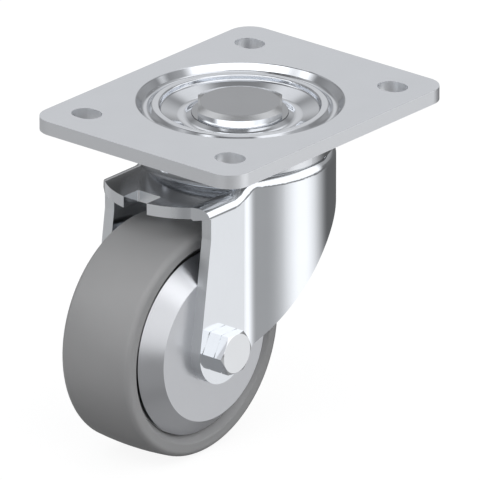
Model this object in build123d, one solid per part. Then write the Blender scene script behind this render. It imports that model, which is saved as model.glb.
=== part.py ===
"""Swivel caster: pressed plate and fork, double ball race swivel head, bolted kingpin, 100 mm wheel.

Millimetres. The origin is the centre of the plate's top face, on the swivel axis. +Z is up, +X runs
along the wheel axle to the bolt head, and the wheel trails towards -Y.
"""
from build123d import *
from math import acos, cos, degrees, radians, sin, sqrt
import os

# Overall layout
overall_height = 140.0
trail = 45.0

# Clearances of the fits
seat_gap = 0.02
bolt_gap = 0.25
ball_gap = 0.15
running_gap = 0.25
ring_gap = 0.35
wheel_headroom = 11.0
tyre_side_gap = 5.5
cover_rim_gap = 0.1

# Top plate
plate_length = 140.0
plate_width = 110.0
plate_thickness = 6.0
plate_corner = 10.0
slot_spacing_long = 105.0
slot_spacing_wide = 77.5
slot_width = 11.0
slot_length = 13.5
ring_mouth_r = 43.4
ring_mouth_rounding = 0.8
ring_valley_r = 39.6
ring_valley_depth = 4.5
ring_valley_rounding = 2.2
ring_crest_outer_r = 36.6
ring_crest_inner_r = 33.6
ring_crest_depth = 1.6
ring_crest_rounding = 1.0
dish_wall_r = 33.2
dish_wall_depth = 3.9
dish_wall_rounding = 0.8
dish_trough_run = 4.1
dish_trough_depth = 6.9
dish_trough_rounding = 5.0
dish_lip_depth = 5.2
race_wall = 4.3
ridge_hollow_depth = 8.2
ridge_hollow_rounding = 1.0
land_depth = 10.3
land_width = 4.0
land_rounding = 1.5
hub_depth = 12.3

# Swivel balls and their races
ball_diameter = 7.938
groove_play = 0.331
upper_ball_count = 22
upper_pitch_r = 29.0
upper_groove_depth = 1.6
lower_ball_count = 15
lower_pitch_r = 20.5
lower_groove_depth = 2.1

# Kingpin, sleeve, lower race and lock nut
kingpin_head_r = 20.2
kingpin_top_r = 16.6
kingpin_top_depth = 0.44
kingpin_chamfer = 1.1
kingpin_ledge_depth = 4.9
kingpin_flat_half = 17.5
kingpin_flat_angle = 40.0
kingpin_seat_depth = 7.2
kingpin_shank_r = 10.0
kingpin_thread_r = 8.0
kingpin_end_past_nut = 0.9
sleeve_wall = 4.2
sleeve_length = 13.2
lower_race_r = 26.5
lower_race_height = 7.0
lower_race_rounding = 2.0
kingpin_nut_flats = 24.0
kingpin_nut_height = 10.0
nut_collar_height = 3.0
nut_collar_inset = 1.2
nut_collar_rounding = 1.0
nut_insert_wall = 1.4

# Dust ring under the plate
dust_ring_inset = 1.0
dust_ring_wall = 1.0
dust_ring_flange = 2.3
dust_ring_foot_gap = 0.3

# Fork
fork_sheet = 5.0
fork_wall_r = 40.0
fork_leg_half = 28.8
crown_depth = 17.3
crown_rounding = 6.5
crown_bore_r = 15.9
crown_ridge_rise = 1.9
crown_ridge_inner_r = 18.5
crown_ridge_outer_r = 22.3
crown_ridge_foot_r = 24.6
crown_neck_r = 17.0
crown_ridge_rounding = 1.0
shelf_depth = 24.0
boss_foot_r = 43.5
shoulder_rounding = 5.8
bend_rounding = 10.0
shelf_arc_r = 36.0
shelf_arc_centre_y = -31.8
shelf_corner_x = 23.3
notch_width = 12.5
notch_back_y = -57.9
notch_rounding = 0.9
leg_front_y = -52.8
leg_front_straight = 9.3
leg_end_r = 15.0
skirt_edge_angle = 45.0
skirt_break_y = 5.0
skirt_back_r = 150.0

# Axle
axle_bolt_r = 5.0
axle_flats = 17.0
axle_head_height = 7.4
axle_nut_height = 7.0
axle_end_past_nut = 2.0
axle_tube_gap = 0.23
head_chamfer_r = 8.45
head_collar_height = 3.1
collar_chamfer = 0.25
chamfer_rise = 0.75

# Cover discs and shims
cover_sheet = 1.3
cover_rim_width = 7.6
cover_rim_angle = 45.0
shim_r = 10.2
shim_thickness = 1.0

# Wheel bearings
bearing_bore_r = 7.5
bearing_outer_r = 17.5
bearing_width = 11.0
bearing_inner_shoulder_r = 10.7
bearing_outer_shoulder_r = 14.2
bearing_ball_diameter = 5.953
bearing_ball_count = 8
bearing_groove_play = 0.1235
cage_width = 7.2
cage_wall = 1.4
shield_thickness = 0.4
shield_inset = 0.3

# Wheel
tyre_shoulder_r = 2.7
tyre_crown_drop = 0.85
tyre_thickness = 10.0
tyre_lip_drop = 6.7
tyre_lip_rounding = 0.9
tyre_foot_inset = 4.1
rim_inset = 4.8
rim_thickness = 6.0
rim_edge_rounding = 1.0
web_half = 5.0
hub_wall = 5.0
hub_shoulder_height = 2.0
bearing_proud = 1.0
core_rounding = 3.0

# Small edges
edge_break = 0.4

# Places worked out from the sizes above
wheel_r = (overall_height - shelf_depth - fork_sheet - wheel_headroom) / 2
axle_z = wheel_r - overall_height
axle_y = -trail
ball_r = ball_diameter / 2
groove_radius = ball_r + groove_play
bearing_ball_r = bearing_ball_diameter / 2
bearing_groove_radius = bearing_ball_r + bearing_groove_play
bearing_pitch_r = (bearing_bore_r + bearing_outer_r) / 2
dust_ring_r = fork_wall_r - dust_ring_inset
upper_groove_z = -(crown_depth + upper_groove_depth)
upper_ball_z = upper_groove_z + ball_gap + ball_r
plate_race_z = upper_ball_z + ball_r + ball_gap
sleeve_foot_z = -(hub_depth + sleeve_length)
race_foot_z = sleeve_foot_z - lower_race_height
crown_under_z = -(crown_depth + fork_sheet)
lower_groove_z = crown_under_z + lower_groove_depth
lower_ball_z = lower_groove_z - ball_gap - ball_r
cup_groove_z = lower_ball_z - ball_r - ball_gap
leg_inner = fork_leg_half - fork_sheet
tube_half = leg_inner - cover_sheet
bearing_face = tube_half - shim_thickness
hub_half = bearing_face - bearing_proud
bearing_inner_face = bearing_face - bearing_width
bearing_mid = bearing_face - bearing_width / 2
axle_tube_r = bearing_bore_r - seat_gap
axle_tube_bore_r = axle_bolt_r + axle_tube_gap
rim_r = wheel_r - tyre_thickness
tyre_lip_r = wheel_r - tyre_lip_drop
tyre_half_width = leg_inner - tyre_side_gap
tyre_foot_half = tyre_half_width - tyre_foot_inset
rim_half_width = tyre_half_width - rim_inset
cover_rim_r = rim_r - cover_rim_gap
cover_flat_r = cover_rim_r - cover_rim_width
cut_margin = 2.0
fork_reach = shelf_arc_r - shelf_arc_centre_y + cut_margin
fork_floor = axle_z - leg_end_r - cut_margin
axle_place = Pos(0, axle_y, axle_z)


def outline(corners):
    """Closed face from corners (a, b) or (a, b, rounding)."""
    points = [(corner[0], corner[1]) for corner in corners]
    roundings = [corner[2] if len(corner) > 2 else 0 for corner in corners]
    return make_face(FilletPolyline(*points, radius=roundings, close=True))


def turned(corners):
    """Solid turned about the swivel axis from corners (radius, height)."""
    return revolve(Plane.XZ * outline(corners), Axis.Z)


def turned_on_axle(corners):
    """Solid turned about the wheel axle from corners (place along the axle, radius)."""
    return axle_place * revolve(outline(corners), Axis.X)


def ring_of(piece, count, pitch_r, height):
    """Copies of a piece spread round the swivel axis."""
    return [Rot(0, 0, 360 / count * i) * Pos(pitch_r, 0, height) * piece for i in range(count)]


def hexagon(flats, height):
    """Hexagonal prism standing on its plane, corners along the plane's first axis."""
    return extrude(RegularPolygon(flats / 2, 6, major_radius=False), height)


def top_plate():
    """Pressed plate: the ring round the kingpin is drawn down and holds the upper ball race."""
    mouth = plate_thickness + edge_break
    body = extrude(RectangleRounded(plate_width, plate_length, plate_corner), -plate_thickness)
    for place in GridLocations(slot_spacing_wide, slot_spacing_long, 2, 2):
        body -= place * extrude(SlotOverall(slot_length, slot_width), -plate_thickness)
    body -= Pos(0, 0, -plate_thickness / 2) * Cylinder(ring_mouth_r + mouth, plate_thickness)
    pressing = turned([
        (ring_mouth_r + mouth, 0),
        (ring_mouth_r, 0, ring_mouth_rounding),
        (ring_valley_r, -ring_valley_depth, ring_valley_rounding),
        (ring_crest_outer_r, -ring_crest_depth, ring_crest_rounding),
        (ring_crest_inner_r, -ring_crest_depth, dish_wall_rounding),
        (dish_wall_r, -dish_wall_depth, dish_wall_rounding),
        (kingpin_head_r + dish_trough_run, -dish_trough_depth, dish_trough_rounding),
        (kingpin_head_r + ring_gap / 2, -dish_lip_depth),
        (kingpin_head_r + ring_gap / 2, -kingpin_seat_depth),
        (kingpin_shank_r + seat_gap, -kingpin_seat_depth),
        (kingpin_shank_r + seat_gap, -hub_depth),
        (upper_pitch_r + race_wall, -hub_depth, edge_break),
        (upper_pitch_r + race_wall, -ridge_hollow_depth, ridge_hollow_rounding),
        (ring_valley_r - land_width / 2 - ridge_hollow_rounding, -ridge_hollow_depth, ridge_hollow_rounding),
        (ring_valley_r - land_width / 2, -land_depth, edge_break),
        (ring_valley_r + land_width / 2, -land_depth, land_rounding),
        (ring_mouth_r + mouth, -plate_thickness),
    ])
    race = Pos(0, 0, plate_race_z - groove_radius) * Torus(upper_pitch_r, groove_radius)
    return body + pressing - race


def dust_ring():
    """Thin ring under the plate that closes the ball track down to the crown's rounding."""
    inner_r = dust_ring_r - dust_ring_wall
    into_rounding = inner_r - (fork_wall_r - crown_rounding)
    crown_there = -(crown_depth + crown_rounding) + sqrt(crown_rounding ** 2 - into_rounding ** 2)
    return turned([
        (inner_r, -land_depth),
        (dust_ring_r + dust_ring_flange, -land_depth),
        (dust_ring_r + dust_ring_flange, -land_depth - dust_ring_wall),
        (dust_ring_r, -land_depth - dust_ring_wall),
        (dust_ring_r, crown_there + dust_ring_foot_gap),
        (inner_r, crown_there + dust_ring_foot_gap),
    ])


def kingpin():
    """Turned pin: round head with two flats, plain shank, threaded end."""
    end_z = race_foot_z - kingpin_nut_height - nut_collar_height - kingpin_end_past_nut
    pin = turned([
        (0, -kingpin_top_depth),
        (kingpin_top_r, -kingpin_top_depth),
        (kingpin_head_r, -kingpin_top_depth - kingpin_chamfer),
        (kingpin_head_r, -kingpin_seat_depth),
        (kingpin_shank_r, -kingpin_seat_depth),
        (kingpin_shank_r, race_foot_z + edge_break),
        (kingpin_thread_r - seat_gap, race_foot_z + edge_break),
        (kingpin_thread_r - seat_gap, end_z + edge_break * 2),
        (kingpin_thread_r - edge_break * 2, end_z),
        (0, end_z),
    ])
    beside = Pos(kingpin_flat_half + kingpin_head_r / 2, 0, -kingpin_ledge_depth + kingpin_head_r / 2)
    for side in (0, 180):
        pin -= Rot(0, 0, kingpin_flat_angle + side) * beside * Box(kingpin_head_r, overall_height, kingpin_head_r)
    return pin


def spacer_sleeve():
    """Sleeve between plate and lower race: its length sets the play of the two ball rows."""
    bore_r = kingpin_shank_r + seat_gap
    return turned([
        (bore_r, -hub_depth),
        (bore_r + sleeve_wall, -hub_depth),
        (bore_r + sleeve_wall, sleeve_foot_z),
        (bore_r, sleeve_foot_z),
    ])


def lower_race():
    """Turned ring with the groove for the lower balls, held up by the kingpin nut."""
    bore_r = kingpin_shank_r + seat_gap
    ring = turned([
        (bore_r, sleeve_foot_z),
        (lower_race_r, sleeve_foot_z, edge_break),
        (lower_race_r, race_foot_z, lower_race_rounding),
        (bore_r, race_foot_z),
    ])
    return ring - Pos(0, 0, cup_groove_z + groove_radius) * Torus(lower_pitch_r, groove_radius)


def lock_nut(flats, height, thread_r):
    """Hexagon lock nut hanging from its own origin, with the round collar that holds the insert."""
    corner_r = flats / sqrt(3)
    collar_r = flats / 2 - nut_collar_inset
    shape = revolve(Plane.XZ * outline([
        (thread_r, 0),
        (flats / 2 - edge_break, 0),
        (corner_r, -chamfer_rise),
        (corner_r, chamfer_rise - height),
        (collar_r, -height),
        (collar_r, -height - nut_collar_height, nut_collar_rounding),
        (thread_r + edge_break, -height - nut_collar_height),
        (thread_r + edge_break, -height - nut_collar_height + edge_break),
        (insert_outer_r(thread_r), -height - nut_collar_height + edge_break),
        (insert_outer_r(thread_r), -height),
        (thread_r, -height),
    ]), Axis.Z)
    total = height + nut_collar_height
    return shape & (Pos(0, 0, -total) * hexagon(flats, total))


def insert_outer_r(thread_r):
    """Outer radius of a lock nut's plastic insert."""
    return thread_r + nut_insert_wall


def lock_insert(height, thread_r):
    """Plastic ring inside the collar of a lock nut."""
    top = -height - seat_gap
    foot = -height - nut_collar_height + edge_break + seat_gap
    outer_r = insert_outer_r(thread_r) - seat_gap
    return revolve(Plane.XZ * outline([
        (thread_r, top), (outer_r, top), (outer_r, foot), (thread_r, foot),
    ]), Axis.Z)


def fork_plan(wall_r, leg_half, bend_r):
    """Plan of the fork: a round wall that runs through two hollow bends into the flat legs."""
    bend_x = leg_half + bend_r
    reach = wall_r + bend_r
    bend_y = -sqrt(reach ** 2 - bend_x ** 2)
    wall_x = bend_x * wall_r / reach
    wall_y = bend_y * wall_r / reach
    towards_wall = (-bend_x / reach, -bend_y / reach)
    middle = Vector(towards_wall[0] - 1, towards_wall[1]).normalized() * bend_r + Vector(bend_x, bend_y)
    front = -fork_reach
    return make_face([
        Line((-leg_half, front), (leg_half, front)),
        Line((leg_half, front), (leg_half, bend_y)),
        ThreePointArc((leg_half, bend_y), (middle.X, middle.Y), (wall_x, wall_y)),
        ThreePointArc((wall_x, wall_y), (0, wall_r), (-wall_x, wall_y)),
        ThreePointArc((-wall_x, wall_y), (-middle.X, middle.Y), (-leg_half, bend_y)),
        Line((-leg_half, bend_y), (-leg_half, front)),
    ])


def crown_block(inset):
    """Solid under the top surface: flat crown, round edge, and a hollow foot that runs out to the shelf."""
    top = -crown_depth - inset
    shelf = -shelf_depth - inset
    convex = crown_rounding - inset
    start_r = fork_wall_r - crown_rounding
    run = boss_foot_r - start_r
    drop = top - shelf
    both = (run ** 2 + drop ** 2) / (2 * drop)
    concave = both - convex
    turn = acos(1 - drop / both)
    knee = (start_r + convex * sin(turn), top - convex * (1 - cos(turn)))
    convex_mid = (start_r + convex * sin(turn / 2), top - convex * (1 - cos(turn / 2)))
    concave_mid = (boss_foot_r - concave * sin(turn / 2), shelf + concave * (1 - cos(turn / 2)))
    end_r = 2 * fork_reach
    floor = fork_floor - cut_margin
    face = make_face([
        Line((0, floor), (0, top)),
        Line((0, top), (start_r, top)),
        ThreePointArc((start_r, top), convex_mid, knee),
        ThreePointArc(knee, concave_mid, (boss_foot_r, shelf)),
        Line((boss_foot_r, shelf), (end_r, shelf)),
        Line((end_r, shelf), (end_r, floor)),
        Line((end_r, floor), (0, floor)),
    ])
    return revolve(Plane.XZ * face, Axis.Z)


def shoulder_edges(body, shelf):
    """Edges where the upright walls meet the top surface, without the open front."""
    edges = ShapeList()
    for wall in body.faces():
        upright = abs(wall.normal_at().Z) < seat_gap
        in_front = wall.center().Y < cut_margin - fork_reach
        if upright and not in_front:
            edges += [edge for edge in wall.edges() if edge.bounding_box().min.Z > shelf - seat_gap]
    return edges


def fork_envelope(inset, floor):
    """Solid inside the sheet's outer skin (inset 0) or inner skin (inset one sheet)."""
    plan = fork_plan(fork_wall_r - inset, fork_leg_half - inset, bend_rounding + inset)
    body = (Pos(0, 0, floor) * extrude(plan, -floor)) & crown_block(inset)
    return fillet(shoulder_edges(body, -shelf_depth - inset), shoulder_rounding - inset)


def fork_side():
    """Side view of the fork: straight front edge, round leg ends, slanting skirt edge."""
    step_z = -shelf_depth - shoulder_rounding
    knee = Vector(leg_front_y, step_z - leg_front_straight)
    centre = Vector(axle_y, axle_z)
    out = knee - centre
    spread = acos(leg_end_r / out.length)
    leave = out.normalized().rotate(Axis.Z, degrees(spread)) * leg_end_r + centre
    angle = radians(skirt_edge_angle)
    away = Vector(sin(angle), -cos(angle))
    land = centre + away * leg_end_r
    lowest = centre + (leave + land - centre * 2).normalized() * leg_end_r
    turn = land + Vector(cos(angle), sin(angle)) * ((skirt_break_y - land.X) / cos(angle))
    back = turn + away * skirt_back_r
    end_y = fork_wall_r + cut_margin
    middle_y = (turn.X + end_y) / 2

    def skirt_z(y):
        return back.Y + sqrt(skirt_back_r ** 2 - (y - back.X) ** 2)

    face = make_face([
        Line((-fork_reach, 0), (-fork_reach, step_z)),
        Line((-fork_reach, step_z), (leg_front_y, step_z)),
        Line((leg_front_y, step_z), knee),
        Line(knee, leave),
        ThreePointArc(leave, lowest, land),
        Line(land, turn),
        ThreePointArc(turn, (middle_y, skirt_z(middle_y)), (end_y, skirt_z(end_y))),
        Line((end_y, skirt_z(end_y)), (end_y, 0)),
        Line((end_y, 0), (-fork_reach, 0)),
    ])
    return extrude(Plane.YZ * face, fork_wall_r + cut_margin, both=True)


def shelf_trim():
    """What is cut off in front of the shelf: a round front edge, slanting corners and a notch."""
    step_z = -shelf_depth - shoulder_rounding
    arc_y = shelf_arc_centre_y - sqrt(shelf_arc_r ** 2 - shelf_corner_x ** 2)
    side_x = fork_leg_half + cut_margin
    side_y = arc_y + side_x - shelf_corner_x
    front = -fork_reach - cut_margin
    face = make_face([
        Line((-side_x, front), (side_x, front)),
        Line((side_x, front), (side_x, side_y)),
        Line((side_x, side_y), (shelf_corner_x, arc_y)),
        ThreePointArc((shelf_corner_x, arc_y), (0, shelf_arc_centre_y - shelf_arc_r), (-shelf_corner_x, arc_y)),
        Line((-shelf_corner_x, arc_y), (-side_x, side_y)),
        Line((-side_x, side_y), (-side_x, front)),
    ])
    height = -step_z
    notch_length = notch_back_y - front
    notch = Pos(0, notch_back_y - notch_length / 2) * RectangleRounded(notch_width, notch_length, notch_rounding)
    return Pos(0, 0, step_z) * (extrude(face, height) + extrude(notch, height))


def crown_rim():
    """Raised rim round the crown's bore, over the lower ball track."""
    crown_z = -crown_depth
    ridge_z = crown_z + crown_ridge_rise
    return turned([
        (crown_bore_r, crown_under_z),
        (crown_bore_r, ridge_z - (crown_ridge_inner_r - crown_neck_r), edge_break),
        (crown_neck_r, ridge_z - (crown_ridge_inner_r - crown_neck_r) + edge_break, edge_break),
        (crown_ridge_inner_r, ridge_z, edge_break),
        (crown_ridge_outer_r, ridge_z, crown_ridge_rounding),
        (crown_ridge_foot_r, crown_z),
        (crown_ridge_foot_r, crown_under_z),
    ])


def fork():
    """One pressed sheet: crown, front shelf, two legs and a round skirt at the back."""
    sheet = fork_envelope(0, fork_floor) - fork_envelope(fork_sheet, fork_floor - cut_margin)
    sheet = sheet & fork_side()
    sheet -= shelf_trim()
    sheet -= Pos(0, 0, crown_under_z) * Cylinder(crown_ridge_foot_r - edge_break, 3 * fork_sheet)
    sheet += crown_rim()
    sheet -= Pos(0, 0, upper_groove_z + groove_radius) * Torus(upper_pitch_r, groove_radius)
    sheet -= Pos(0, 0, lower_groove_z - groove_radius) * Torus(lower_pitch_r, groove_radius)
    bolt_hole = Rot(0, 90, 0) * Cylinder(axle_bolt_r + bolt_gap, 2 * fork_wall_r)
    return sheet - axle_place * bolt_hole


def axle_bolt():
    """Bolt through both legs: on the +X side a hexagon head above a hexagon collar, with chamfered corners."""
    head_x = fork_leg_half + axle_head_height
    end_x = -(fork_leg_half + axle_nut_height + nut_collar_height + axle_end_past_nut)
    corner_r = axle_flats / sqrt(3)
    joint_x = fork_leg_half + head_collar_height
    shank = turned_on_axle([
        (end_x, 0),
        (head_x - chamfer_rise, 0),
        (head_x - chamfer_rise, axle_bolt_r),
        (end_x + edge_break * 2, axle_bolt_r),
        (end_x, axle_bolt_r - edge_break * 2),
    ])
    shape = turned_on_axle([
        (fork_leg_half, 0),
        (fork_leg_half, corner_r),
        (joint_x - collar_chamfer, corner_r),
        (joint_x, head_chamfer_r),
        (joint_x + collar_chamfer, corner_r),
        (head_x - chamfer_rise, corner_r),
        (head_x, head_chamfer_r),
        (head_x, 0),
    ])
    prism = Pos(fork_leg_half, axle_y, axle_z) * (Plane.YZ * hexagon(axle_flats, axle_head_height))
    return shank + (shape & prism)


def on_axle_end(piece):
    """Turns a piece that hangs from its origin so that it stands on the left leg."""
    return Pos(-fork_leg_half, axle_y, axle_z) * Rot(0, 90, 0) * piece


def axle_tube():
    """Tube round the bolt, clamped between the cover discs; the bearings sit on it."""
    return turned_on_axle([
        (-tube_half, axle_tube_bore_r),
        (tube_half, axle_tube_bore_r),
        (tube_half, axle_tube_r),
        (-tube_half, axle_tube_r),
    ])


def mirrored(piece, side):
    """The piece itself on the right (+X) side, its mirror image on the left."""
    return piece if side == "right" else mirror(piece, Plane.YZ)


def cover_disc():
    """Pressed disc between leg and bearing, with a rim that leans in towards the tyre."""
    lean = radians(cover_rim_angle)
    along = cover_rim_r - cover_flat_r
    rim_x = leg_inner - along / cos(lean) * sin(lean)
    edge = (rim_x - cover_sheet * cos(lean), cover_rim_r - cover_sheet * sin(lean))
    knee_r = cover_flat_r - cover_sheet * (1 - cos(lean)) / sin(lean)
    bore_r = axle_bolt_r + bolt_gap
    return turned_on_axle([
        (leg_inner, bore_r),
        (leg_inner, cover_flat_r, edge_break),
        (rim_x, cover_rim_r),
        edge,
        (leg_inner - cover_sheet, knee_r),
        (leg_inner - cover_sheet, bore_r),
    ])


def shim():
    """Small ring between cover disc and bearing, so that the disc clears the turning parts."""
    return turned_on_axle([
        (bearing_face, bearing_bore_r),
        (tube_half, bearing_bore_r),
        (tube_half, shim_r),
        (bearing_face, shim_r),
    ])


def bearing_groove():
    """Ring space in which the bearing's balls roll."""
    return axle_place * Pos(bearing_mid, 0, 0) * Rot(0, 90, 0) * Torus(bearing_pitch_r, bearing_groove_radius)


def inner_ring():
    """Bearing ring on the axle tube."""
    ring = turned_on_axle([
        (bearing_inner_face, bearing_bore_r, edge_break),
        (bearing_face, bearing_bore_r, edge_break),
        (bearing_face, bearing_inner_shoulder_r),
        (bearing_inner_face, bearing_inner_shoulder_r),
    ])
    return ring - bearing_groove()


def outer_ring():
    """Bearing ring in the hub."""
    outer_r = bearing_outer_r - seat_gap
    ring = turned_on_axle([
        (bearing_inner_face, bearing_outer_shoulder_r),
        (bearing_face, bearing_outer_shoulder_r),
        (bearing_face, outer_r, edge_break),
        (bearing_inner_face, outer_r, edge_break),
    ])
    return ring - bearing_groove()


def bearing_ball_places():
    """Places of one bearing's balls, on its pitch circle."""
    step = 360 / bearing_ball_count
    return [axle_place * Rot(step * (i + 0.5), 0, 0) * Pos(bearing_mid, bearing_pitch_r, 0)
            for i in range(bearing_ball_count)]


def bearing_balls():
    """The balls of one wheel bearing."""
    return [place * Sphere(bearing_ball_r) for place in bearing_ball_places()]


def bearing_cage():
    """Ring with a pocket for each ball."""
    ring = turned_on_axle([
        (bearing_mid - cage_width / 2, bearing_pitch_r - cage_wall / 2),
        (bearing_mid + cage_width / 2, bearing_pitch_r - cage_wall / 2),
        (bearing_mid + cage_width / 2, bearing_pitch_r + cage_wall / 2),
        (bearing_mid - cage_width / 2, bearing_pitch_r + cage_wall / 2),
    ])
    pocket_r = bearing_ball_r + ball_gap
    for place in bearing_ball_places():
        ring -= place * Rot(90, 0, 0) * Cylinder(pocket_r, cage_width)
    return ring


def bearing_shield(outside):
    """Thin disc that closes one side of a bearing, held by the outer ring."""
    outer_face = bearing_face - shield_inset if outside else bearing_inner_face + shield_inset + shield_thickness
    return turned_on_axle([
        (outer_face - shield_thickness, bearing_inner_shoulder_r + running_gap),
        (outer_face, bearing_inner_shoulder_r + running_gap),
        (outer_face, bearing_outer_shoulder_r - seat_gap),
        (outer_face - shield_thickness, bearing_outer_shoulder_r - seat_gap),
    ])


def wheel_core():
    """Hub, web and rim in one casting, turned where the bearings and the tyre sit."""
    hub_r = bearing_outer_r + hub_wall
    rim_inner_r = rim_r - rim_thickness
    web_rounding = min(core_rounding, (rim_inner_r - hub_r - seat_gap) / 2)
    shoulder_r = bearing_outer_r - hub_shoulder_height
    half = [
        (bearing_inner_face, shoulder_r),
        (bearing_inner_face, bearing_outer_r),
        (hub_half, bearing_outer_r),
        (hub_half, hub_r, edge_break),
        (web_half, hub_r, web_rounding),
        (web_half, rim_inner_r, web_rounding),
        (rim_half_width, rim_inner_r, rim_edge_rounding),
        (rim_half_width, rim_r),
    ]
    other_half = [(-corner[0], *corner[1:]) for corner in reversed(half)]
    return turned_on_axle(half + other_half)


def tyre():
    """Solid tyre: slightly crowned tread, round shoulders, and lips that slope in to the core."""
    bore_r = rim_r + seat_gap
    tread_half = tyre_half_width - tyre_shoulder_r
    tread_edge_r = wheel_r - tyre_crown_drop
    shoulder_r = tread_edge_r - tyre_shoulder_r
    slant = sqrt(0.5) * tyre_shoulder_r
    face = make_face([
        Line((-tyre_foot_half, bore_r), (tyre_foot_half, bore_r)),
        Line((tyre_foot_half, bore_r), (tyre_half_width, tyre_lip_r)),
        Line((tyre_half_width, tyre_lip_r), (tyre_half_width, shoulder_r)),
        ThreePointArc((tyre_half_width, shoulder_r), (tread_half + slant, shoulder_r + slant),
                      (tread_half, tread_edge_r)),
        ThreePointArc((tread_half, tread_edge_r), (0, wheel_r), (-tread_half, tread_edge_r)),
        ThreePointArc((-tread_half, tread_edge_r), (-tread_half - slant, shoulder_r + slant),
                      (-tyre_half_width, shoulder_r)),
        Line((-tyre_half_width, shoulder_r), (-tyre_half_width, tyre_lip_r)),
        Line((-tyre_half_width, tyre_lip_r), (-tyre_foot_half, bore_r)),
    ])
    lips = [corner for corner in face.vertices() if abs(corner.Y - tyre_lip_r) < seat_gap]
    face = fillet(lips, tyre_lip_rounding)
    return axle_place * revolve(face, Axis.X)


nut_place = Pos(0, 0, race_foot_z)
nodes = {
    "top_plate": top_plate(),
    "dust_ring": dust_ring(),
    "kingpin": kingpin(),
    "spacer_sleeve": spacer_sleeve(),
    "lower_race": lower_race(),
    "kingpin_nut": nut_place * lock_nut(kingpin_nut_flats, kingpin_nut_height, kingpin_thread_r),
    "kingpin_nut_insert": nut_place * lock_insert(kingpin_nut_height, kingpin_thread_r),
    "upper_balls": Compound(ring_of(Sphere(ball_r), upper_ball_count, upper_pitch_r, upper_ball_z)),
    "lower_balls": Compound(ring_of(Sphere(ball_r), lower_ball_count, lower_pitch_r, lower_ball_z)),
    "fork": fork(),
    "axle_bolt": axle_bolt(),
    "axle_nut": on_axle_end(lock_nut(axle_flats, axle_nut_height, axle_bolt_r + seat_gap)),
    "axle_nut_insert": on_axle_end(lock_insert(axle_nut_height, axle_bolt_r + seat_gap)),
    "axle_tube": axle_tube(),
    "wheel_core": wheel_core(),
    "tyre": tyre(),
}
for side in ("right", "left"):
    nodes[f"cover_disc_{side}"] = mirrored(cover_disc(), side)
    nodes[f"shim_{side}"] = mirrored(shim(), side)
    nodes[f"bearing_inner_ring_{side}"] = mirrored(inner_ring(), side)
    nodes[f"bearing_outer_ring_{side}"] = mirrored(outer_ring(), side)
    nodes[f"bearing_balls_{side}"] = Compound([mirrored(ball, side) for ball in bearing_balls()])
    nodes[f"bearing_cage_{side}"] = mirrored(bearing_cage(), side)
    nodes[f"bearing_shield_{side}_outside"] = mirrored(bearing_shield(True), side)
    nodes[f"bearing_shield_{side}_inside"] = mirrored(bearing_shield(False), side)

os.makedirs("parts", exist_ok=True)
for name, shape in nodes.items():
    export_step(shape, f"parts/{name}.step")
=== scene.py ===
import bmesh
import bpy
import math
from mathutils import Matrix, Vector


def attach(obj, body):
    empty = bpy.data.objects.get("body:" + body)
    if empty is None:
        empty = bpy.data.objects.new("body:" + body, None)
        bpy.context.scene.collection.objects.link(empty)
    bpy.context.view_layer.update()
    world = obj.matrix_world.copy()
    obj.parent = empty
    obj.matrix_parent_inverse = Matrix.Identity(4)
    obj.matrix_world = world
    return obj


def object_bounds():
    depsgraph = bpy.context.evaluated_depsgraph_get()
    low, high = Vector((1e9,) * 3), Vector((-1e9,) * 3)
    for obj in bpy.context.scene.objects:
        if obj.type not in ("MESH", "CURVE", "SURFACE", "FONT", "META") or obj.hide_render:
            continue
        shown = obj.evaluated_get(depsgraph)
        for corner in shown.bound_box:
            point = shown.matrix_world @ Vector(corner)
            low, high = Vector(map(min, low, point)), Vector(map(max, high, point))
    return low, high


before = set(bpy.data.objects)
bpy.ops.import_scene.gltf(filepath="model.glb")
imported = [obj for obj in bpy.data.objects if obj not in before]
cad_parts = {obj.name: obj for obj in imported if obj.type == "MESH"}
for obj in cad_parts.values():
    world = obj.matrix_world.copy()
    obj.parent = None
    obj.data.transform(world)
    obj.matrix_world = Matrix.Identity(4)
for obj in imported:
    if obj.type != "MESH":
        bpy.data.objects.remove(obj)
cad_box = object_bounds()

# The camera of a catalogue picture. It stands so far away that the view is parallel, a little above the
# plate, and turned so that the bolt side of the fork and the front of the wheel both show.
view_azimuth = math.radians(40)
view_elevation = math.radians(22)
view_distance = 6.0
view_height = 0.2
view_target = Vector((0, 0, -0.06265))
film_width = 36.0
depth_in_sight = 24.0

toward_viewer = Vector((
    math.cos(view_elevation) * math.sin(view_azimuth),
    -math.cos(view_elevation) * math.cos(view_azimuth),
    math.sin(view_elevation),
))
camera_data = bpy.data.cameras.new("catalogue_camera")
camera_data.sensor_width = film_width
camera_data.lens = film_width * view_distance / view_height
camera_data.clip_end = depth_in_sight
camera = bpy.data.objects.new("catalogue_camera", camera_data)
bpy.context.scene.collection.objects.link(camera)
camera.location = view_target + toward_viewer * view_distance
camera.rotation_euler = toward_viewer.to_track_quat("Z", "Y").to_euler()
bpy.context.scene.camera = camera
bpy.context.scene.view_settings.view_transform = "Standard"

# The studio round the caster: a grey room with a bright ceiling, and large soft panels at both sides of
# the camera with dark gaps between them. The lens itself sees plain white; the metal shows the studio.
# The room's levels: elevation in degrees, and light.
room_levels = [
    (-90, 0.36), (-60, 0.34), (-44, 0.16), (-22, 0.12), (-6, 0.14), (8, 0.34), (20, 0.38), (32, 0.28),
    (48, 0.48), (57, 0.28), (66, 0.16), (72, 0.36), (79, 1.0), (90, 1.0),
]
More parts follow.
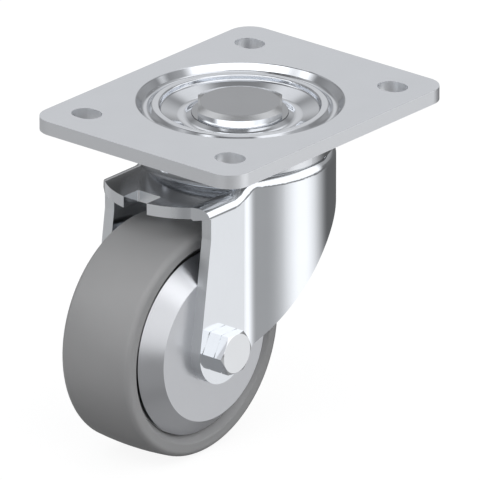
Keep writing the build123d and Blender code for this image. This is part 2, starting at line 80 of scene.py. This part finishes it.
# Each panel: azimuth from the camera's side, elevation, half width, half height, soft sides, soft top and
# foot, all in degrees, and its level.
studio_panels = [
    (-92, -26, 78, 15, 18, 8, 0.46),
    (20, -30, 26, 16, 18, 8, 0.36),
    (80, -30, 27, 14, 24, 4, 1.10),
    (180, 22, 16, 10, 10, 8, 0.73),
    (-84, 32, 15, 13, 8, 6, 1.6),
    (180, 44, 22, 8, 10, 5, 1.1),
    (62, 12, 47, 21, 6, 4, 1.18),
    (-31, 13, 45, 17, 8, 6, 1.05),
    (0, 51, 72, 12, 12, 4, 1.9),
    (88, 66, 50, 12, 12, 6, 1.2),
]
white_level = 1.0
lamp_tint = (0.985, 0.99, 1.0, 1)
world = bpy.data.worlds.new("studio")
bpy.context.scene.world = world
world.use_nodes = True


def node(tree, kind, inputs=None, **settings):
    """A shader node with its settings; inputs are values, or sockets to link from."""
    made = tree.nodes.new(kind)
    for key, value in settings.items():
        setattr(made, key, value)
    for key, value in (inputs or {}).items():
        if isinstance(value, bpy.types.NodeSocket):
            tree.links.new(value, made.inputs[key])
        else:
            made.inputs[key].default_value = value
    return made


tree = world.node_tree
tree.nodes.clear()
look = node(tree, "ShaderNodeTexCoord").outputs["Generated"]
height = node(tree, "ShaderNodeSeparateXYZ", {0: look}).outputs["Z"]
lift = node(tree, "ShaderNodeMath", {0: height}, operation="ARCSINE").outputs[0]
level_look = node(tree, "ShaderNodeVectorMath", {0: look, 1: (1, 1, 0)},
                  operation="MULTIPLY").outputs[0]
level_look = node(tree, "ShaderNodeVectorMath", {0: level_look}, operation="NORMALIZE").outputs[0]
share = node(tree, "ShaderNodeMapRange", {
    "Value": lift, "From Min": -math.pi / 2, "From Max": math.pi / 2})
levels = node(tree, "ShaderNodeValToRGB", {0: share.outputs[0]})
ramp = levels.color_ramp
ramp.interpolation = "EASE"
for elevation, level in room_levels:
    stop = ramp.elements.new((elevation + 90) / 180)
    stop.color = (level, level, level, 1)
ramp.elements.remove(ramp.elements[0])
ramp.elements.remove(ramp.elements[-1])
light = levels.outputs[0]
for azimuth, elevation, half_width, half_height, soft_side, soft_foot, level in studio_panels:
    turn = math.radians(azimuth) + view_azimuth - math.pi / 2
    across = node(tree, "ShaderNodeVectorMath", {0: level_look, 1: (math.cos(turn), math.sin(turn), 0)},
                  operation="DOT_PRODUCT").outputs["Value"]
    away = node(tree, "ShaderNodeMath", {0: across}, operation="ARCCOSINE").outputs[0]
    beside = node(tree, "ShaderNodeMapRange", {
        "Value": away, "From Min": math.radians(half_width + soft_side),
        "From Max": math.radians(half_width - soft_side)}, interpolation_type="SMOOTHSTEP").outputs[0]
    rise = node(tree, "ShaderNodeMath", {0: lift, 1: math.radians(elevation)},
                operation="SUBTRACT").outputs[0]
    rise = node(tree, "ShaderNodeMath", {0: rise}, operation="ABSOLUTE").outputs[0]
    above = node(tree, "ShaderNodeMapRange", {
        "Value": rise, "From Min": math.radians(half_height + soft_foot),
        "From Max": math.radians(half_height - soft_foot)}, interpolation_type="SMOOTHSTEP").outputs[0]
    cover = node(tree, "ShaderNodeMath", {0: beside, 1: above}, operation="MULTIPLY").outputs[0]
    light = node(tree, "ShaderNodeMix", {"Factor": cover, "A": light, "B": level},
                 data_type="FLOAT").outputs[0]
path = node(tree, "ShaderNodeLightPath")
seen = node(tree, "ShaderNodeMix", {
    "Factor": path.outputs["Is Camera Ray"], "A": light, "B": white_level}, data_type="FLOAT")
background = node(tree, "ShaderNodeBackground", {"Color": lamp_tint, "Strength": seen.outputs[0]})
tree.links.new(background.outputs[0], node(tree, "ShaderNodeOutputWorld").inputs[0])

# The pale floor that the wheel stands on, a wide matt sheet of paper. It takes a faint shadow, and the
# metal looks past it at the studio, as it would on a small table.
floor_z = cad_box[0][2]
floor_half = 2.5
floor_grey = 0.16
floor_glow = 0.90
floor_mesh = bpy.data.meshes.new("pale_floor")
shape = bmesh.new()
bmesh.ops.create_grid(shape, x_segments=1, y_segments=1, size=floor_half,
                      matrix=Matrix.Translation((0, 0, floor_z)))
shape.to_mesh(floor_mesh)
shape.free()
floor = bpy.data.objects.new("pale_floor", floor_mesh)
bpy.context.scene.collection.objects.link(floor)
paper = bpy.data.materials.new("pale_paper")
paper.use_nodes = True
tree = paper.node_tree
tree.nodes.clear()
path = node(tree, "ShaderNodeLightPath")
matt = node(tree, "ShaderNodeBsdfDiffuse", {"Color": (floor_grey, floor_grey, floor_grey, 1)})
glow = node(tree, "ShaderNodeMath", {0: path.outputs["Is Camera Ray"], 1: floor_glow},
            operation="MULTIPLY")
lit = node(tree, "ShaderNodeEmission", {"Strength": glow.outputs[0]})
both = node(tree, "ShaderNodeAddShader", {0: matt.outputs[0], 1: lit.outputs[0]})
clear = node(tree, "ShaderNodeBsdfTransparent")
final = node(tree, "ShaderNodeMixShader", {
    0: path.outputs["Is Glossy Ray"], 1: both.outputs[0], 2: clear.outputs[0]})
tree.links.new(final.outputs[0], node(tree, "ShaderNodeOutputMaterial").inputs[0])
floor_mesh.materials.append(paper)

# Top plate: hot-rolled steel sheet, 6 mm thick, sheared and punched to shape, with the rings round the
# kingpin drawn in a press. It is zinc plated: the upper face shines and the sheared edges are duller.
# The underside is painted a darker grey: painted shade, for the shadow that the plate casts on itself.
plate_colour = (0.745, 0.765, 0.80)
plate_edge_colour = (0.87, 0.885, 0.91)
plate_gloss = 0.075
sheared_gloss = 0.42
underside_painted_shade = (0.40, 0.405, 0.41)
underside_gloss = 0.34
underside_shade_turn = (-0.80, -0.96)
upright_turn = (0.35, 0.2)
pressing_edge_r = (0.044, 0.045)
rolling_grain = (260, 40, 260)
rolling_depth = 0.000005
rolling_spread = 0.015
usual_spread = 0.03
grain_scale = 5.0
grain_detail = 5.0
cloud_scale = 60.0
cloud_detail = 3.0
tint_range = (0.97, 1.03)


def metal(name, colour, gloss, grain, depth, spread=usual_spread):
    """Metal with an uneven gloss and a fine grain; grain is in cells per metre along each axis."""
    made = bpy.data.materials.new(name)
    made.use_nodes = True
    tree = made.node_tree
    shader = tree.nodes["Principled BSDF"]
    shader.inputs["Metallic"].default_value = 1
    place = node(tree, "ShaderNodeTexCoord").outputs["Object"]
    along = node(tree, "ShaderNodeMapping", {"Vector": place, "Scale": grain}).outputs[0]
    fine = node(tree, "ShaderNodeTexNoise", {
        "Vector": along, "Scale": grain_scale, "Detail": grain_detail}).outputs[0]
    cloud = node(tree, "ShaderNodeTexNoise", {
        "Vector": place, "Scale": cloud_scale, "Detail": cloud_detail}).outputs[0]
    patchy = node(tree, "ShaderNodeMath", {0: fine, 1: cloud}, operation="MULTIPLY").outputs[0]
    uneven = node(tree, "ShaderNodeMapRange", {
        "Value": patchy, "To Min": gloss - spread, "To Max": gloss + 2 * spread}).outputs[0]
    tree.links.new(uneven, shader.inputs["Roughness"])
    tint = node(tree, "ShaderNodeMapRange", {
        "Value": cloud, "To Min": tint_range[0], "To Max": tint_range[1]}).outputs[0]
    body = node(tree, "ShaderNodeVectorMath", {0: colour, "Scale": tint}, operation="SCALE").outputs[0]
    tree.links.new(body, shader.inputs["Base Color"])
    relief = node(tree, "ShaderNodeBump", {"Height": fine, "Strength": 1.0, "Distance": depth})
    tree.links.new(relief.outputs[0], shader.inputs["Normal"])
    return made


def cut_edges_and_painted_shade(material, cut, colour, gloss):
    """Gives the faces where the socket cut is 1 a colour and roughness of their own: the look of a sheared
    edge on cut faces, and painted shade on the plate's underside and the fork's shelf.
    """
    tree = material.node_tree
    shader = tree.nodes["Principled BSDF"]
    body = shader.inputs["Base Color"].links[0].from_socket
    mixed = node(tree, "ShaderNodeMix", {"Factor": cut, "A": body, "B": (*colour, 1)}, data_type="RGBA")
    tree.links.new(mixed.outputs["Result"], shader.inputs["Base Color"])
    smooth = shader.inputs["Roughness"].links[0].from_socket
    rough = node(tree, "ShaderNodeMix", {"Factor": cut, "A": smooth, "B": gloss}, data_type="FLOAT")
    tree.links.new(rough.outputs[0], shader.inputs["Roughness"])


def facing(material, axis, turn):
    """Socket that goes from 0 to 1 as the surface's normal turns along one axis of the object."""
    tree = material.node_tree
    normal = node(tree, "ShaderNodeTexCoord").outputs["Normal"]
    part = node(tree, "ShaderNodeSeparateXYZ", {0: normal}).outputs[axis]
    return node(tree, "ShaderNodeMapRange", {
        "Value": part, "From Min": turn[0], "From Max": turn[1]}).outputs[0]


def finish_node(name, material):
    """Gives a CAD node its finish."""
    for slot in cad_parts[name].material_slots:
        slot.material = material


plate_zinc = metal("plate_zinc", plate_colour, plate_gloss, rolling_grain, rolling_depth, rolling_spread)
tree = plate_zinc.node_tree
place = node(tree, "ShaderNodeTexCoord")
upright = node(tree, "ShaderNodeSeparateXYZ", {0: place.outputs["Normal"]}).outputs["Z"]
upright = node(tree, "ShaderNodeMath", {0: upright}, operation="ABSOLUTE").outputs[0]
upright = node(tree, "ShaderNodeMapRange", {
    "Value": upright, "From Min": upright_turn[0], "From Max": upright_turn[1]}).outputs[0]
in_plan = node(tree, "ShaderNodeVectorMath", {0: place.outputs["Object"], 1: (1, 1, 0)},
               operation="MULTIPLY").outputs[0]
from_pin = node(tree, "ShaderNodeVectorMath", {0: in_plan}, operation="LENGTH").outputs["Value"]
outside = node(tree, "ShaderNodeMapRange", {
    "Value": from_pin, "From Min": pressing_edge_r[0], "From Max": pressing_edge_r[1]}).outputs[0]
cut = node(tree, "ShaderNodeMath", {0: upright, 1: outside}, operation="MULTIPLY").outputs[0]
cut_edges_and_painted_shade(plate_zinc, cut, plate_edge_colour, sheared_gloss)
# Painted shade: the faces that look down get a darker, greyer colour and a duller gloss.
cut_edges_and_painted_shade(plate_zinc, facing(plate_zinc, "Z", underside_shade_turn), underside_painted_shade, underside_gloss)
finish_node("top_plate", plate_zinc)

# Kingpin: turned from steel bar, with a wide round head let into the plate and two flats milled on it.
# Its sides are plated bright; the top is left grey by the die, with fine rings from the turning tool.
pin_colour = (0.93, 0.94, 0.95)
pin_top_colour = (0.41, 0.42, 0.435)
pin_top_gloss = 0.16
pin_top_turn = (0.93, 0.97)
pin_gloss = 0.12
pin_grain = (120, 120, 120)
pin_grain_depth = 0.000004
pin_mark_pitch = 0.00035
pin_mark_depth = 0.000004
mark_wander = 0.6
mark_detail = 2.0
mark_detail_scale = 3.0
unit_wave_pitch = 2 * math.pi / 20


def turning_marks(material, axis, centre, pitch, depth):
    """Adds the fine rings that a lathe leaves round an axis, pitch apart."""
    tree = material.node_tree
    shader = tree.nodes["Principled BSDF"]
    grain = shader.inputs["Normal"].links[0].from_node
    place = node(tree, "ShaderNodeTexCoord").outputs["Object"]
    centred = node(tree, "ShaderNodeMapping", {
        "Vector": place, "Location": tuple(-c for c in centre)}).outputs[0]
    rings = node(tree, "ShaderNodeTexWave", {
        "Vector": centred, "Scale": unit_wave_pitch / pitch, "Distortion": mark_wander,
        "Detail": mark_detail, "Detail Scale": mark_detail_scale}, wave_type="RINGS", rings_direction=axis)
    relief = node(tree, "ShaderNodeBump", {
        "Height": rings.outputs["Fac"], "Strength": 1.0, "Distance": depth, "Normal": grain.outputs[0]})
    tree.links.new(relief.outputs[0], shader.inputs["Normal"])


pin_steel = metal("pin_steel", pin_colour, pin_gloss, pin_grain, pin_grain_depth)
cut_edges_and_painted_shade(pin_steel, facing(pin_steel, "Z", pin_top_turn), pin_top_colour, pin_top_gloss)
turning_marks(pin_steel, "Z", (0, 0, 0), pin_mark_pitch, pin_mark_depth)
finish_node("kingpin", pin_steel)

# The thread on the kingpin's lower end, rolled on to the bar: it stands out of the lock nut by less than
# one turn. It is one sharp ridge that climbs as it goes round.
pin_thread_r = 0.00797
pin_thread_pitch = 0.002
pin_thread_foot = -0.0462
pin_thread_ridge = 0.00022
pin_thread_turns = 0.35
ridge_sunk_share = 0.3
ridge_half_width = 0.35
steps_per_turn = 48
weld_distance = 1e-7


def thread_ridge(name, radius, pitch, ridge, turns, place, material, body):
    """A ridge of triangular section wound up a pin that stands along Z before it is placed."""
    shape = bmesh.new()
    sunk = ridge * ridge_sunk_share
    half = pitch * ridge_half_width
    corners = [shape.verts.new((radius + out, 0, up)) for out, up in (
        (-sunk, -half), (ridge, 0), (-sunk, half))]
    edges = [shape.edges.new((corners[i], corners[(i + 1) % 3])) for i in range(3)]
    steps = int(steps_per_turn * turns)
    bmesh.ops.contextual_create(shape, geom=edges)
    bmesh.ops.spin(shape, geom=edges, cent=(0, 0, 0), axis=(0, 0, 1), angle=2 * math.pi * turns,
                   dvec=(0, 0, pitch * turns / steps), steps=steps, use_merge=False, use_duplicate=False)
    bmesh.ops.remove_doubles(shape, verts=shape.verts, dist=weld_distance)
    open_edges = [edge for edge in shape.edges if len(edge.link_faces) == 1]
    bmesh.ops.holes_fill(shape, edges=open_edges, sides=3)
    bmesh.ops.recalc_face_normals(shape, faces=shape.faces)
    bmesh.ops.transform(shape, matrix=place, verts=shape.verts)
    mesh = bpy.data.meshes.new(name)
    shape.to_mesh(mesh)
    shape.free()
    piece = bpy.data.objects.new(name, mesh)
    bpy.context.scene.collection.objects.link(piece)
    mesh.materials.append(material)
    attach(piece, body)


thread_ridge("kingpin_thread", pin_thread_r, pin_thread_pitch, pin_thread_ridge, pin_thread_turns,
             Matrix.Translation((0, 0, pin_thread_foot)), pin_steel, "plate")

# Dust ring: thin steel strip rolled and flanged into a ring, pressed on to the plate's underside. It
# keeps dirt out of the upper ball track and is plated as the plate is.
ring_colour = (0.74, 0.755, 0.78)
ring_gloss = 0.14
ring_grain = (200, 200, 60)
ring_grain_depth = 0.000006
ring_zinc = metal("ring_zinc", ring_colour, ring_gloss, ring_grain, ring_grain_depth)
finish_node("dust_ring", ring_zinc)

# The two rows of balls of the swivel head: hardened chrome steel, lapped to a mirror, with a film of
# grease that dulls them a little. They lie loose in their tracks.
ball_colour = (0.70, 0.70, 0.69)
ball_gloss = 0.09
ball_grain = (90, 90, 90)
ball_grain_depth = 0.000002
ball_steel = metal("ball_steel", ball_colour, ball_gloss, ball_grain, ball_grain_depth)
for name in ("upper_balls", "lower_balls"):
    finish_node(name, ball_steel)

# Spacer sleeve and lower race: turned rings on the kingpin. The race is case hardened and ground where
# the balls run, which leaves it a clear grey.
race_colour = (0.58, 0.585, 0.59)
race_gloss = 0.17
race_grain = (150, 150, 150)
race_grain_depth = 0.000004
race_mark_pitch = 0.0003
race_mark_depth = 0.000003
race_steel = metal("race_steel", race_colour, race_gloss, race_grain, race_grain_depth)
turning_marks(race_steel, "Z", (0, 0, 0), race_mark_pitch, race_mark_depth)
for name in ("spacer_sleeve", "lower_race"):
    finish_node(name, race_steel)

# Kingpin nut: a cold-headed and plated hexagon lock nut that holds the swivel head together, with a
# natural-coloured plastic ring in its collar that grips the thread.
nut_colour = (0.86, 0.875, 0.89)
nut_gloss = 0.13
nut_grain = (180, 180, 180)
nut_grain_depth = 0.000006
insert_colour = (0.80, 0.79, 0.74, 1)
insert_pale = (0.86, 0.85, 0.80, 1)
insert_gloss = (0.34, 0.5)
insert_mottle = 900.0
insert_detail = 4.0
insert_depth_of_light = 0.1
nut_zinc = metal("nut_zinc", nut_colour, nut_gloss, nut_grain, nut_grain_depth)
finish_node("kingpin_nut", nut_zinc)
insert_plastic = bpy.data.materials.new("insert_plastic")
insert_plastic.use_nodes = True
tree = insert_plastic.node_tree
shader = tree.nodes["Principled BSDF"]
place = node(tree, "ShaderNodeTexCoord").outputs["Object"]
mottle = node(tree, "ShaderNodeTexNoise", {
    "Vector": place, "Scale": insert_mottle, "Detail": insert_detail}).outputs[0]
waxy = node(tree, "ShaderNodeMapRange", {
    "Value": mottle, "To Min": insert_gloss[0], "To Max": insert_gloss[1]}).outputs[0]
tree.links.new(waxy, shader.inputs["Roughness"])
milky = node(tree, "ShaderNodeMix", {"Factor": mottle, "A": insert_colour, "B": insert_pale},
             data_type="RGBA").outputs["Result"]
tree.links.new(milky, shader.inputs["Base Color"])
shader.inputs["Subsurface Weight"].default_value = insert_depth_of_light
finish_node("kingpin_nut_insert", insert_plastic)

# Fork: one blank of 5 mm steel, drawn over a round punch, trimmed, then tumbled bright and plated with
# blue-white zinc. Its skin mirrors the studio and the trimmed edges are duller. The faces that look up,
# the flat shelf under the plate most of all, are painted a darker grey: painted shade from the plate.
fork_colour = (0.905, 0.93, 0.965)
fork_edge_colour = (0.84, 0.86, 0.88)
fork_gloss = 0.085
trimmed_gloss = 0.38
shelf_painted_shade = (0.50, 0.51, 0.525)
shelf_gloss = 0.14
shelf_shade_turn = (0.90, 0.985)
front_edge_turn = (-0.82, -0.92)
foot_edge_turn = (-0.35, -0.55)
fork_grain = (90, 90, 26)
fork_grain_depth = 0.000006
fork_spread = 0.015
fork_zinc = metal("fork_zinc", fork_colour, fork_gloss, fork_grain, fork_grain_depth, fork_spread)
front_cut = facing(fork_zinc, "Y", front_edge_turn)
foot_cut = facing(fork_zinc, "Z", foot_edge_turn)
cut = node(fork_zinc.node_tree, "ShaderNodeMath", {0: front_cut, 1: foot_cut},
           operation="MAXIMUM").outputs[0]
cut_edges_and_painted_shade(fork_zinc, cut, fork_edge_colour, trimmed_gloss)
# Painted shade: the fork's upward faces, which lie under the plate, get a darker grey that also stands for
# a painted reflection of the plate's dark underside.
cut_edges_and_painted_shade(fork_zinc, facing(fork_zinc, "Z", shelf_shade_turn), shelf_painted_shade, shelf_gloss)
finish_node("fork", fork_zinc)

# Axle bolt: cold-headed steel with a chamfered hexagon head on the outside of the right leg, bright
# zinc plated. Its shank goes through both legs, the tube and the bearings.
axle = Vector((0, -0.045, -0.09))
bolt_colour = (0.90, 0.915, 0.935)
bolt_gloss = 0.1
bolt_grain = (160, 160, 160)
bolt_grain_depth = 0.000005
bolt_spread = 0.015
bolt_mark_pitch = 0.0004
bolt_mark_depth = 0.000002
bolt_zinc = metal("bolt_zinc", bolt_colour, bolt_gloss, bolt_grain, bolt_grain_depth, bolt_spread)
turning_marks(bolt_zinc, "X", axle, bolt_mark_pitch, bolt_mark_depth)
finish_node("axle_bolt", bolt_zinc)

# The rolled thread on the bolt's far end, where it stands out of the lock nut on the left leg.
# It is the same kind of ridge, one turn of it in sight.
bolt_thread_r = 0.00495
bolt_thread_pitch = 0.0015
bolt_thread_ridge = 0.00018
bolt_thread_turns = 1.0
bolt_thread_end = -0.0407
bolt_thread_start = 0.0006
on_the_left = Matrix.Translation((bolt_thread_end, axle.y, axle.z))
along_the_axle = Matrix.Rotation(math.pi / 2, 4, "Y")
from_the_end = Matrix.Translation((0, 0, bolt_thread_start))
thread_ridge("axle_bolt_thread", bolt_thread_r, bolt_thread_pitch, bolt_thread_ridge, bolt_thread_turns,
             on_the_left @ along_the_axle @ from_the_end, bolt_zinc, "fork")

# Axle nut: a plated hexagon lock nut with a plastic ring in its collar, tightened against the left leg.
# It clamps the legs, the cover discs and the tube into one stiff stack.
finish_node("axle_nut", nut_zinc)
finish_node("axle_nut_insert", insert_plastic)

# Cover discs: thin steel discs pressed with a leaning rim, which keep threads out of the bearings. They
# are plated and satin, with faint rings from the press tool's turned face.
disc_colour = (0.68, 0.69, 0.715)
disc_gloss = 0.31
disc_grain = (120, 120, 120)
disc_grain_depth = 0.000006
disc_mark_pitch = 0.0006
disc_mark_depth = 0.000004
disc_zinc = metal("disc_zinc", disc_colour, disc_gloss, disc_grain, disc_grain_depth)
turning_marks(disc_zinc, "X", axle, disc_mark_pitch, disc_mark_depth)
for side in ("right", "left"):
    finish_node(f"cover_disc_{side}", disc_zinc)

# Axle tube and shims: drawn steel tube cut to length, and stamped washers beside the bearings. They are
# plain bright steel, seen only through gaps.
tube_colour = (0.62, 0.62, 0.62)
tube_gloss = 0.2
tube_grain = (60, 200, 200)
tube_grain_depth = 0.000005
tube_steel = metal("tube_steel", tube_colour, tube_gloss, tube_grain, tube_grain_depth)
for name in ("axle_tube", "shim_right", "shim_left"):
    finish_node(name, tube_steel)

# Wheel bearings: ground rings and balls of hardened steel, a pressed cage that spaces the balls, and
# thin pressed shields that close each side.
bearing_colour = (0.64, 0.645, 0.65)
bearing_gloss = 0.11
bearing_grain = (150, 150, 150)
bearing_grain_depth = 0.000002
cage_colour = (0.55, 0.545, 0.53)
cage_gloss = 0.24
cage_grain = (200, 200, 200)
cage_grain_depth = 0.000006
bearing_steel = metal("bearing_steel", bearing_colour, bearing_gloss, bearing_grain, bearing_grain_depth)
cage_steel = metal("cage_steel", cage_colour, cage_gloss, cage_grain, cage_grain_depth)
for side in ("right", "left"):
    for part in ("inner_ring", "outer_ring", "balls"):
        finish_node(f"bearing_{part}_{side}", bearing_steel)
    for part in (f"cage_{side}", f"shield_{side}_outside", f"shield_{side}_inside"):
        finish_node(f"bearing_{part}", cage_steel)

# Wheel core: die-cast aluminium hub, web and rim in one piece. The casting is left as it comes from the
# die, slightly pebbled, and turned only where the bearings and the tyre sit.
cast_colour = (0.60, 0.605, 0.61)
cast_gloss = 0.42
cast_grain = (300, 300, 300)
cast_grain_depth = 0.00004
cast_spread = 0.06
cast_aluminium = metal("cast_aluminium", cast_colour, cast_gloss, cast_grain, cast_grain_depth,
                       cast_spread)
finish_node("wheel_core", cast_aluminium)

# Tyre: solid elastic tyre, grey and non-marking, cast on to the core in a polished mould. The skin has a
# soft silky shine and a very fine grain.
tyre_colour = (0.35, 0.35, 0.353)
tyre_pale = (0.39, 0.39, 0.392)
tyre_sheen = 0.5
tyre_silk = (0.31, 0.41)
tyre_pores = 2200.0
tyre_pore_detail = 3.0
tyre_pore_depth = 0.000012
tyre_bloom = 45.0
tyre_bloom_detail = 4.0
tyre_grey = bpy.data.materials.new("tyre_grey")
tyre_grey.use_nodes = True
tree = tyre_grey.node_tree
shader = tree.nodes["Principled BSDF"]
shader.inputs["Specular IOR Level"].default_value = tyre_sheen
place = node(tree, "ShaderNodeTexCoord").outputs["Object"]
pores = node(tree, "ShaderNodeTexNoise", {
    "Vector": place, "Scale": tyre_pores, "Detail": tyre_pore_detail}).outputs[0]
bloom = node(tree, "ShaderNodeTexNoise", {
    "Vector": place, "Scale": tyre_bloom, "Detail": tyre_bloom_detail}).outputs[0]
skin = node(tree, "ShaderNodeMix", {"Factor": bloom, "A": (*tyre_colour, 1), "B": (*tyre_pale, 1)},
            data_type="RGBA").outputs["Result"]
tree.links.new(skin, shader.inputs["Base Color"])
silk = node(tree, "ShaderNodeMapRange", {
    "Value": bloom, "To Min": tyre_silk[0], "To Max": tyre_silk[1]}).outputs[0]
tree.links.new(silk, shader.inputs["Roughness"])
relief = node(tree, "ShaderNodeBump", {"Height": pores, "Strength": 1.0, "Distance": tyre_pore_depth})
tree.links.new(relief.outputs[0], shader.inputs["Normal"])
finish_node("tyre", tyre_grey)
